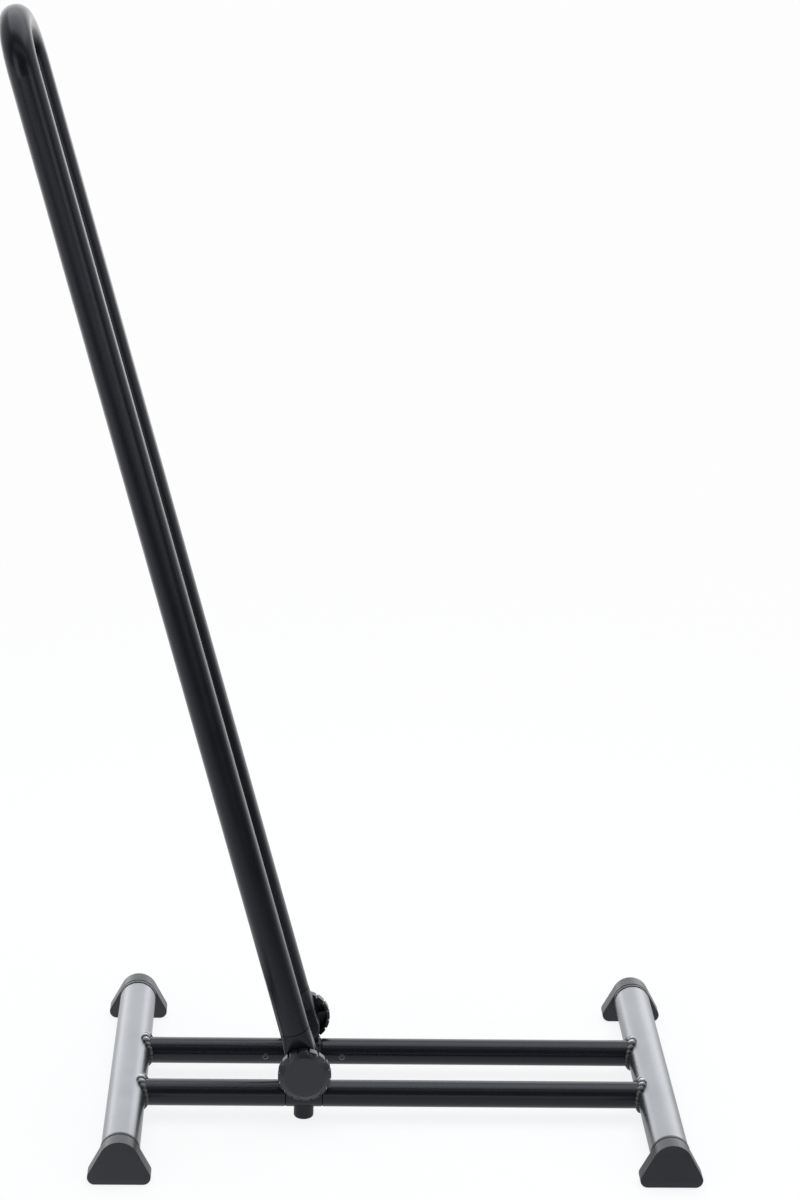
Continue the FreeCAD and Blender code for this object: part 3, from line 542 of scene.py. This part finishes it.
@dataclass
class RailWelds:
    """The beads that join the rails to the foot bars: a run of overlapping ripples along the
    saddle where a rail meets a bar, with a lump on top where the run starts and ends.

    Attributes:
        thickness: radius of a bead's own section.
        ripples: ripples round a rail.
        steps: sections to a ripple.
        points: points round a section.
        relief: how far a ripple's crest stands out, as a share of the thickness.
        valley: radius of the bead in its valleys, as a share of the thickness.
        swell: how much thicker the bead gets on top, as the same share.
        top_relief: how much higher the ripples get on top.
        gathering: how much wider the ripples get towards the top.
        sway: how far the bead's size strays from its middle.
        wobble: how far its line strays, as a share of the thickness.
    """

    thickness: float = 0.0023
    ripples: int = 26
    steps: int = 10
    points: int = 14
    relief: float = 0.3
    valley: float = 0.80
    swell: float = 0.18
    top_relief: float = 0.9
    gathering: float = 4.5
    sway: float = 0.12
    wobble: float = 0.05

    def lay_bead(self, shape: bmesh.types.BMesh, bar: Side, end: End) -> None:
        """Adds one bead.

        Args:
            shape: the mesh that takes it.
            bar: the bar that it is on.
            end: the rail that it is round.
        """
        bar_low, bar_high = (Vector(corner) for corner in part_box(f"{bar.label}_foot_bar"))
        rail = f"{end.label}_{bar.label}_rail"
        rail_low, rail_high = (Vector(corner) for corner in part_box(rail))
        bar_axis, rail_axis = (bar_low + bar_high) / 2, (rail_low + rail_high) / 2
        bar_radius = (bar_high.x - bar_low.x) / 2
        rail_radius = (rail_high.z - rail_low.z) / 2
        ring = bmesh.ops.create_circle(shape, segments=self.points, radius=self.thickness)["verts"]
        quarter = Matrix.Rotation(math.pi / 2, 3, "X")
        bmesh.ops.rotate(shape, verts=ring, cent=(0, 0, 0), matrix=quarter)
        bmesh.ops.translate(shape, verts=ring, vec=(0, 0, rail_radius))
        edges = list({edge for vertex in ring for edge in vertex.link_edges})
        before = set(shape.verts) - set(ring)
        bmesh.ops.spin(
            shape, geom=ring + edges, cent=(0, 0, 0), axis=(1, 0, 0), dvec=(0, 0, 0),
            angle=math.tau, steps=self.ripples * self.steps, use_merge=True,
            use_duplicate=False, use_normal_flip=False,
        )
        floats = shape.verts.layers.float
        crest = floats.get("crest") or floats.new("crest")
        seed = 1.7 * bar.value + 0.9 * end.value
        for vertex in set(shape.verts) - before:
            along, across, up = vertex.co
            turn = math.atan2(up, across)
            away, out = along, math.hypot(across, up) - rail_radius
            top = max(0.0, math.sin(turn)) ** 6
            # A slow sway, which differs from bead to bead.
            wander = 0.35 * math.sin(3 * turn + seed) + 0.25 * math.sin(7 * turn - 2 * seed)
            phase = self.ripples * turn / 2 + 0.6 * wander + self.gathering * math.cos(turn)
            ripple = abs(math.sin(phase))
            rough = self.relief * ripple * (1.0 + self.top_relief * top)
            scale = self.valley + rough + self.sway * wander + self.swell * top
            # Above and below the rail, a bead sits nearer to the bar and further out.
            steep = math.sin(turn) ** 2
            lift_away, lift_out = 0.40 - 0.22 * steep, 0.40 + 0.20 * steep
            away = away * scale + self.thickness * (lift_away + self.wobble * wander)
            out = out * scale + self.thickness * (lift_out + self.wobble * wander)
            saddle = math.sqrt(bar_radius**2 - (rail_radius * math.sin(turn)) ** 2)
            vertex.co = (
                bar_axis.x - bar.value * (saddle + away),
                rail_axis.y + (rail_radius + out) * math.cos(turn),
                rail_axis.z + (rail_radius + out) * math.sin(turn),
            )
            # Painted highlight: nearly all of the pale, metallic colour goes on the crests on top,
            # where the light glints.
            vertex[crest] = ripple**2 * min(1.0, 0.06 + 1.1 * top)

    def build(self, wardrobe: Wardrobe) -> None:
        """Makes the four beads as one piece."""
        shape = bmesh.new()
        for bar in Side:
            for end in End:
                self.lay_bead(shape, bar, end)
        bmesh.ops.recalc_face_normals(shape, faces=shape.faces)
        wardrobe.dress_piece(put_in_scene(shape, "rippled_weld_beads"), "weld_beads", "base")


def turns_by(edge: bmesh.types.BMEdge, degrees: float) -> bool:
    """Says whether the two faces of an edge turn by more than an angle.

    Args:
        edge: the edge.
        degrees: the angle.

    Returns:
        True if they do; False for an edge that hasn't two faces.
    """
    return edge.is_manifold and edge.calc_face_angle(0.0) > math.radians(degrees)


@dataclass
class RoundedParts:
    """Moulded and cast parts, with the small rounding that a mould leaves on their edges.

    Attributes:
        radius: size of the rounding.
        sharp_from: edges that turn by more than this many degrees are rounded.
        segments: faces across a rounding.
        weld_distance: points closer than this are one point, in metres.
        level_below: faces that differ by fewer degrees than this become one.
        evenness: weight that the normals give to large faces, where 50 is neutral.
    """

    radius: float = 0.0004
    sharp_from: float = 24.0
    segments: int = 2
    weld_distance: float = 2e-6
    level_below: float = 0.6
    evenness: int = 50

    def is_sharp(self, edge: bmesh.types.BMEdge) -> bool:
        """Says whether an edge is one that gets rounded.

        Args:
            edge: the edge.

        Returns:
            True if it is.
        """
        return turns_by(edge, self.sharp_from)

    def round_copy(self, node: str, name: str) -> bpy.types.Object:
        """Copies a CAD node with its sharp edges rounded.

        Args:
            node: the node's name.
            name: the copy's name.

        Returns:
            The copy, in the node's place.
        """
        shape = bmesh.new()
        shape.from_mesh(frame["nodes"][node].data)
        bmesh.ops.remove_doubles(shape, verts=shape.verts, dist=self.weld_distance)
        level = math.radians(self.level_below)
        bmesh.ops.dissolve_limit(shape, angle_limit=level, verts=shape.verts, edges=shape.edges)
        sharp = [edge for edge in shape.edges if self.is_sharp(edge)]
        bmesh.ops.bevel(
            shape, geom=sharp, affect="EDGES", offset=self.radius, offset_type="OFFSET",
            segments=self.segments, profile=0.5, material=-1, clamp_overlap=False,
            loop_slide=True,
        )
        piece = put_in_scene(shape, name)
        flats = piece.modifiers.new("level_flats", "WEIGHTED_NORMAL")
        flats.weight = self.evenness
        return piece


@dataclass
class FootCaps(RoundedParts):
    """The four moulded caps on the ends of the foot bars.

    Attributes:
        crease_from: edges round an end face that turn by more than this many degrees are
            rounded too, so that its bevelled border stays flat.
        face_slack: how near an edge is to that face's plane, in metres.
    """

    radius: float = 0.0005
    crease_from: float = 5.0
    face_slack: float = 0.00001

    def is_sharp(self, edge: bmesh.types.BMEdge) -> bool:
        """Says whether an edge is one that gets rounded.

        Args:
            edge: the edge.

        Returns:
            True if it is.
        """
        if super().is_sharp(edge):
            return True
        end_face = CAD_BOX[1][1] - self.face_slack
        on_face = all(abs(vertex.co.y) > end_face for vertex in edge.verts)
        return on_face and turns_by(edge, self.crease_from)

    def build(self, wardrobe: Wardrobe) -> None:
        """Makes the caps."""
        for end in End:
            for bar in Side:
                node = f"{end.label}_{bar.label}_foot_cap"
                wardrobe.dress_piece(self.round_copy(node, f"{node}_moulding"), node, "base")


@dataclass
class PivotLugs(RoundedParts):
    """The two cast lugs between the halves of the rails."""

    radius: float = 0.0003

    def build(self, wardrobe: Wardrobe) -> None:
        """Makes the lugs."""
        for end in End:
            node = f"{end.label}_pivot_lug"
            wardrobe.dress_piece(self.round_copy(node, f"{node}_casting"), node, "base")


@dataclass
class ClampKnobs(RoundedParts):
    """The two moulded knobs that clamp the hoop."""

    radius: float = 0.00035

    def build(self, wardrobe: Wardrobe) -> None:
        """Makes the knobs."""
        for end in End:
            node = f"{end.label}_knob"
            wardrobe.dress_piece(self.round_copy(node, f"{node}_moulding"), node, node)


# ---------------------------------------------------------------- studio


@dataclass(frozen=True)
class Softbox:
    """A flat lamp.

    Attributes:
        name: the lamp's name.
        place: its middle, in metres.
        aim: what it faces.
        size: its width and height, in metres.
        glow: how bright it looks, where 1 is white paper.
    """

    name: str
    place: Point
    aim: Point
    size: tuple[float, float]
    glow: float

    def hang(self) -> None:
        """Puts the lamp in the scene."""
        data = bpy.data.lights.new(self.name, "AREA")
        data.shape = "RECTANGLE"
        data.size, data.size_y = self.size
        data.energy = self.glow * math.pi * self.size[0] * self.size[1]
        lamp = bpy.data.objects.new(self.name, data)
        lamp.location = self.place
        heading = Vector(self.aim) - Vector(self.place)
        lamp.rotation_euler = heading.to_track_quat("-Z", "Y").to_euler()
        lamp.visible_camera = False
        bpy.context.collection.objects.link(lamp)


@dataclass(frozen=True)
class PhotoCamera:
    """A camera close to where the photograph was taken from.

    Attributes:
        lens: focal length in millimetres.
        shift: how far the picture is shifted upwards.
        angles: pitch, yaw and roll in degrees.
        place: where it stands, in metres.
        reach: how far it sees, in metres.
    """

    lens: float = 87.93
    shift: float = -0.195
    angles: Point = (-13.263, -2.317, 1.474)
    place: Point = (-0.0616, -2.323, 1.196)
    reach: float = 50.0

    def stand(self) -> None:
        """Puts the camera in the scene and makes it the one in use."""
        data = bpy.data.cameras.new("photo_camera")
        data.lens = self.lens
        data.shift_y = self.shift
        data.clip_end = self.reach
        camera = bpy.data.objects.new("photo_camera", data)
        pitch, yaw, roll = (math.radians(angle) for angle in self.angles)
        camera.matrix_world = (
            Matrix.Translation(self.place)
            @ Matrix.Rotation(yaw, 4, "Z")
            @ Matrix.Rotation(pitch, 4, "X")
            @ Matrix.Rotation(math.pi / 2, 4, "X")
            @ Matrix.Rotation(roll, 4, "Z")
        )
        bpy.context.collection.objects.link(camera)
        bpy.context.scene.camera = camera


FRONT_BOX = (1.3, 1.7)
SOFTBOXES: tuple[Softbox, ...] = (
    Softbox("back_left_box", (-1.15, 2.1, 0.22), (-0.1, 0.0, 0.1), (1.2, 0.6), 0.8),
    Softbox("back_right_box", (1.1, 2.1, 0.62), (0.1, 0.0, 0.1), (1.1, 0.7), 0.8),
    Softbox("top_box", (0.05, 0.45, 2.5), (0.0, 0.0, 0.0), (2.9, 2.0), 1.45),
    Softbox("front_top_strip", (0.0, -1.22, 2.1), (0.0, 0.0, 0.1), (2.6, 0.34), 0.7),
    Softbox("front_strip", (0.0, -3.1, 0.32), (0.0, 0.0, 0.2), (5.0, 0.62), 1.1),
    Softbox("front_left_box", (-1.9, -2.2, 1.0), (0.0, 0.0, 0.2), FRONT_BOX, 1.2),
    Softbox("front_right_box", (2.1, -2.2, 1.1), (0.0, 0.0, 0.2), FRONT_BOX, 1.2),
)


@dataclass
class Studio:
    """White floor, pale surroundings, softboxes and the camera.

    Attributes:
        floor_half: half of the floor's side, in metres.
        floor_grey: how much of the light the floor's paint returns.
        floor_lift: light that the floor adds where it is seen.
        lift_colour: colour of that light.
        white: how bright the surroundings and the far floor look.
        floor_fade: distances over which the floor becomes the far floor.
        room_level: light that the surroundings give.
        dark_front: how bright the front looks in a reflection.
        bright_back: how bright the back looks in a reflection.
        overhead: how bright the top looks in a reflection.
        front_turn: how far the floor's dark front turns to the right, as a slope.
        front_depths: distances behind the rack's middle over which that front ends.
        back_depths: distances behind it over which the floor's bright back begins.
        back_step: how much of the bright back the floor doesn't have.
        rise: parts of a direction towards the back over which the front becomes the top.
        glare: the same for the top becoming the back.
    """

    floor_half: float = 9.0
    floor_grey: float = 0.22
    floor_lift: float = 0.855
    lift_colour: Colour = (0.985, 0.99, 1.0)
    white: float = 0.985
    floor_fade: Span = (0.7, 1.9)
    room_level: float = 0.30
    dark_front: float = 0.15
    bright_back: float = 1.70
    overhead: float = 0.85
    front_turn: float = 0.6
    front_depths: Span = (-1.1, 0.25)
    back_depths: Span = (0.15, 0.9)
    back_step: float = 1.2
    rise: Span = (-0.5, 0.2)
    glare: Span = (0.55, 0.85)

    def lay_floor(self) -> None:
        """Lays the white floor. It fades into the white surroundings far from the rack. In
        reflections it is dark at the front and bright at the back."""
        shape = bmesh.new()
        bmesh.ops.create_grid(shape, x_segments=1, y_segments=1, size=self.floor_half)
        floor = put_in_scene(shape, "studio_floor")
        material = bpy.data.materials.new("studio_floor")
        floor.data.materials.append(material)
        graph = Graph(material)
        looks, mirrors = graph.looks(), graph.mirrors()
        seen = graph.reckon("MAXIMUM", looks, mirrors)
        grey = (self.floor_grey,) * 3
        white = (self.white,) * 3
        paint = graph.add("BsdfDiffuse", Color=(*grey, 1.0))
        lift = graph.add("Emission", Color=(*self.lift_colour, 1.0))
        place = graph.add("SeparateXYZ")
        graph.join(graph.object_space(), place.inputs[0])
        back = (0.0, self.bright_back - self.back_step)
        behind = graph.ramp(place.outputs["Y"], self.back_depths, back)
        shown = graph.reckon("ADD", seen, graph.reckon("MULTIPLY", behind, mirrors))
        lifted = graph.reckon("MULTIPLY", shown, self.floor_lift)
        graph.join(lifted, lift.inputs["Strength"])
        near = graph.add("AddShader")
        graph.join(paint.outputs[0], near.inputs[0])
        graph.join(lift.outputs[0], near.inputs[1])
        far = graph.add("Emission", Color=(*white, 1.0))
        graph.join(shown, far.inputs["Strength"])
        reach = graph.add("VectorMath", operation="LENGTH")
        graph.join(graph.object_space(), reach.inputs[0])
        faded = graph.add("MixShader")
        distance = graph.ramp(reach.outputs["Value"], self.floor_fade, (0.0, 1.0), "SMOOTHSTEP")
        graph.join(distance, faded.inputs[0])
        graph.join(near.outputs[0], faded.inputs[1])
        graph.join(far.outputs[0], faded.inputs[2])
        dark = graph.add("Emission", Strength=self.dark_front)
        aside = graph.reckon("MULTIPLY", place.outputs["X"], self.front_turn)
        depth = graph.reckon("SUBTRACT", place.outputs["Y"], aside)
        front = graph.ramp(depth, self.front_depths, (1.0, 0.0))
        whole = graph.add("MixShader")
        graph.join(graph.reckon("MULTIPLY", front, mirrors), whole.inputs[0])
        graph.join(faded.outputs[0], whole.inputs[1])
        graph.join(dark.outputs[0], whole.inputs[2])
        graph.finish(whole.outputs[0])

    def paint_room(self) -> None:
        """Makes the surroundings: white where they are seen, dimmer as a light. In reflections
        they are bright at the back and dark at the front."""
        world = bpy.data.worlds.new("studio_room")
        bpy.context.scene.world = world
        graph = Graph(world, "World")
        heading = graph.add("SeparateXYZ")
        graph.join(graph.add("TexCoord").outputs["Generated"], heading.inputs[0])
        looks, mirrors = graph.looks(), graph.mirrors()
        backward = heading.outputs["Y"]
        top = (self.dark_front, self.overhead)
        back = (0.0, self.bright_back - self.overhead)
        mirrored = graph.reckon(
            "ADD",
            graph.ramp(backward, self.rise, top, "SMOOTHSTEP"),
            graph.ramp(backward, self.glare, back, "SMOOTHSTEP"),
        )
        direct = graph.reckon("MULTIPLY", looks, self.white)
        seen = graph.reckon("MAXIMUM", direct, graph.reckon("MULTIPLY", mirrors, mirrored))
        unseen = graph.reckon("SUBTRACT", 1.0, graph.reckon("MAXIMUM", looks, mirrors))
        lighting = graph.reckon("MULTIPLY", unseen, self.room_level)
        light = graph.add("Background", Color=(1.0, 1.0, 1.0, 1.0))
        graph.join(graph.reckon("MAXIMUM", seen, lighting), light.inputs["Strength"])
        graph.finish(light.outputs[0])

    def build(self) -> None:
        """Sets up the floor, the room, the lamps and the camera."""
        self.lay_floor()
        self.paint_room()
        for lamp in SOFTBOXES:
            lamp.hang()
        PhotoCamera().stand()
        bpy.context.scene.view_settings.view_transform = "Standard"
        log.info("studio is set")


def main() -> None:
    """Builds the scene."""
    logging.basicConfig(level=logging.INFO, format="%(message)s")
    Studio().build()
    wardrobe = Wardrobe()
    wardrobe.dress_nodes()
    for assembly in (RailWelds(), FootCaps(), PivotLugs(), ClampKnobs()):
        assembly.build(wardrobe)


if __name__ == "__main__":
    main()
